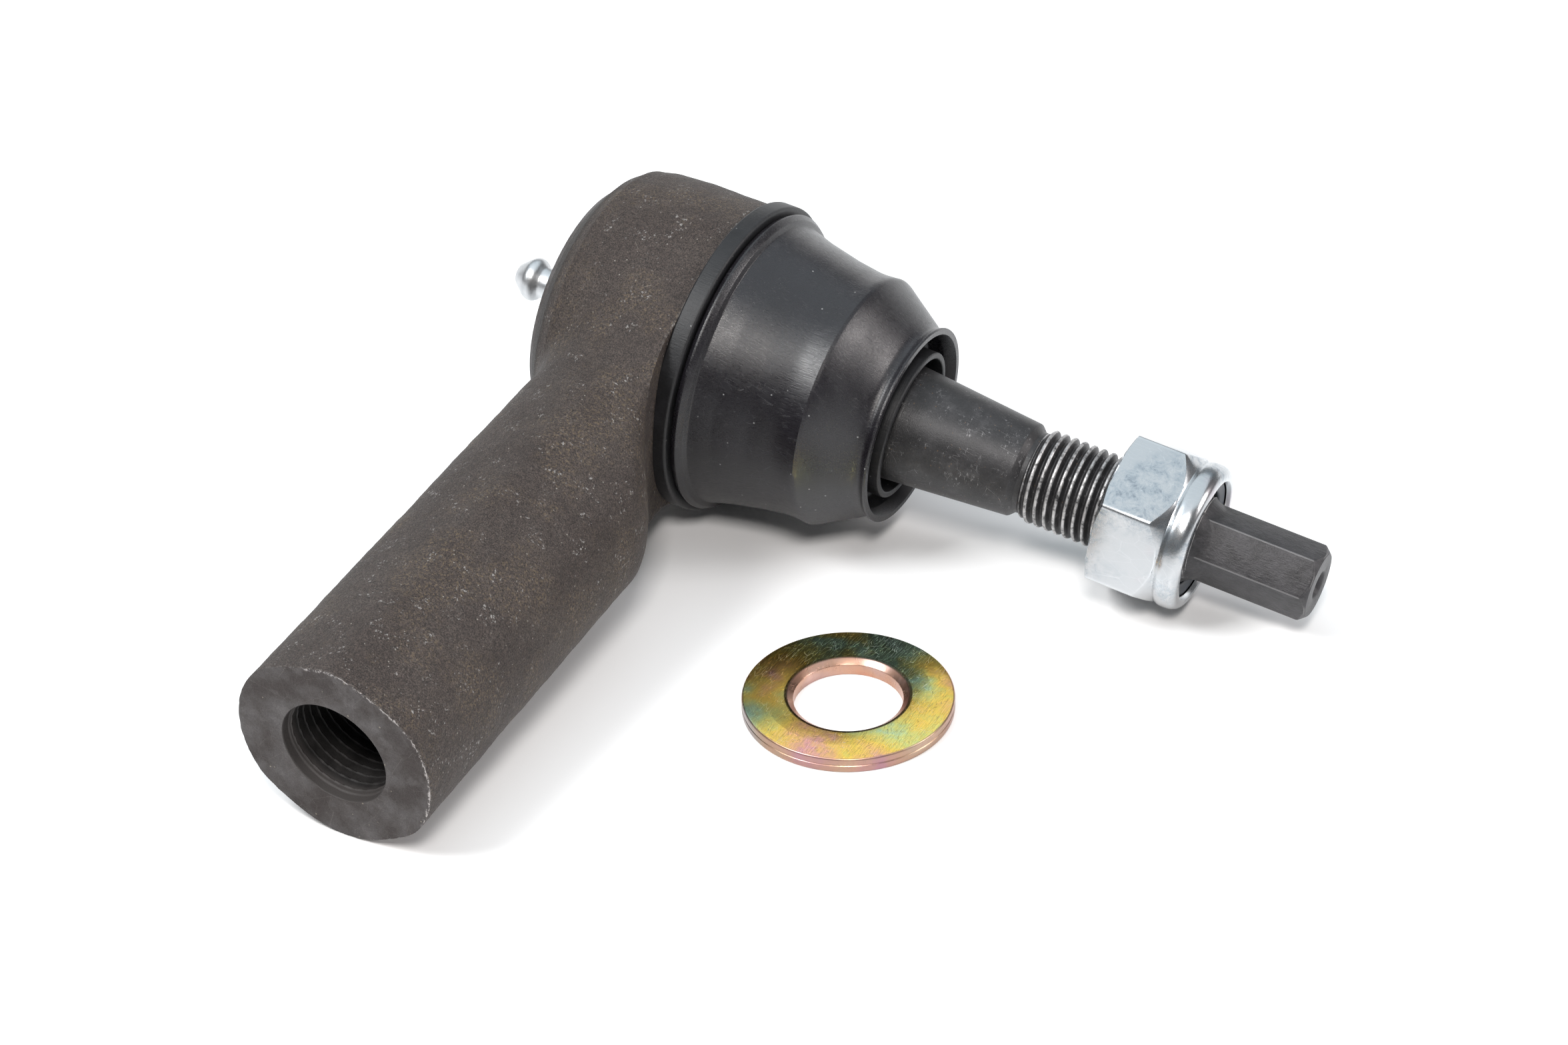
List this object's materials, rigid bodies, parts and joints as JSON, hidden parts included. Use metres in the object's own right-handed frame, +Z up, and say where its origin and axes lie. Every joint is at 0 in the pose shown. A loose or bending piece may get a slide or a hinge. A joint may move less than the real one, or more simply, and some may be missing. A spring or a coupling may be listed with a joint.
{
  "type": "tie rod end",
  "caption": "Forged tie rod end: a threaded shank at right angles to a booted ball joint with a tapered stud, grease fitting, collared lock nut and a loose flat washer.",
  "frame": {"origin": "on the table, at the middle of the whole part's box seen from above", "axes": "+Z up from the table; +X level, along the way the ball stud points; the threaded shank points along -Y"},
  "size_m": [0.1288, 0.1234, 0.0473],
  "materials": {
    "forged_steel": "dark phosphate over an as-forged skin, rough, with pale scuffs",
    "bearing_polymer": "matt moulded polymer",
    "spring_steel": "dark hardened steel",
    "cover_steel": "pressed steel, dark phosphate",
    "zinc_plate": "bright zinc with a faint blue passivation",
    "ball_steel": "polished hardened steel",
    "stud_steel": "grey-black phosphate, worn bright on the thread crests",
    "boot_rubber": "black moulded rubber, satin",
    "ring_rubber": "black rubber over a steel ring, satin",
    "nylon": "dark nylon",
    "yellow_zinc": "yellow zinc chromate with pink and green interference colours"
  },
  "bodies": {
    "housing": {"housing": "forged_steel", "front_bearing_seat": "bearing_polymer", "pressure_seat": "bearing_polymer", "preload_disc_spring": "spring_steel", "cover_plate": "cover_steel", "grease_fitting_body": "zinc_plate", "grease_fitting_spring": "spring_steel", "boot_base_ring": "ring_rubber"},
    "grease_check": {"grease_fitting_ball": "ball_steel"},
    "boot": {"dust_boot": "boot_rubber"},
    "boot_neck": {"boot_neck_ring": "ring_rubber"},
    "stud": {"ball_stud": "stud_steel"},
    "nut_ring": {"nylon_insert": "nylon"},
    "nut": {"lock_nut": "zinc_plate"},
    "washer": {"flat_washer": "yellow_zinc"}
  },
  "joints": [
    {"name": "stud_pitch", "type": "hinge", "parent": "housing", "child": "boot", "pos_m": [-0.03296, 0.03823, 0.02406], "axis": [0.0091, 0.9958, 0.0912], "range_deg": [-19.67, 12.33], "deforming": ["dust_boot"]},
    {"name": "stud_yaw", "type": "hinge", "parent": "boot", "child": "boot_neck", "pos_m": [-0.03296, 0.03823, 0.02406], "axis": [0.1624, -0.0915, 0.9825], "range_deg": [-19.08, 12.92]},
    {"name": "stud_spin", "type": "hinge", "parent": "boot_neck", "child": "stud", "pos_m": [-0.03296, 0.03823, 0.02406], "axis": [0.9857, 0.0594, -0.1574], "continuous": true},
    {"name": "nut_travel", "type": "slide", "parent": "stud", "child": "nut_ring", "axis": [0.9857, 0.0594, -0.1574], "range_m": [-0.012, 0.012]},
    {"name": "nut_turn", "type": "hinge", "parent": "nut_ring", "child": "nut", "pos_m": [0.03269, 0.04218, 0.01358], "axis": [0.9857, 0.0594, -0.1574], "range_deg": [-2880, 2880]},
    {"name": "check_ball_push", "type": "slide", "parent": "housing", "child": "grease_check", "axis": [0.9951, 0, -0.0993], "range_m": [0, 0.0008], "stiffness_N_per_m": 300, "springref_m": -0.0005, "deforming": ["grease_fitting_spring"]},
    {"name": "washer_lift", "type": "slide", "parent": "housing", "child": "washer", "axis": [0, 0, 1], "range_m": [0, 0.05]}
  ],
  "couplings": [
    {"joint": "nut_turn", "follows": "nut_travel", "rad_per_m": 4188.8}
  ]
}
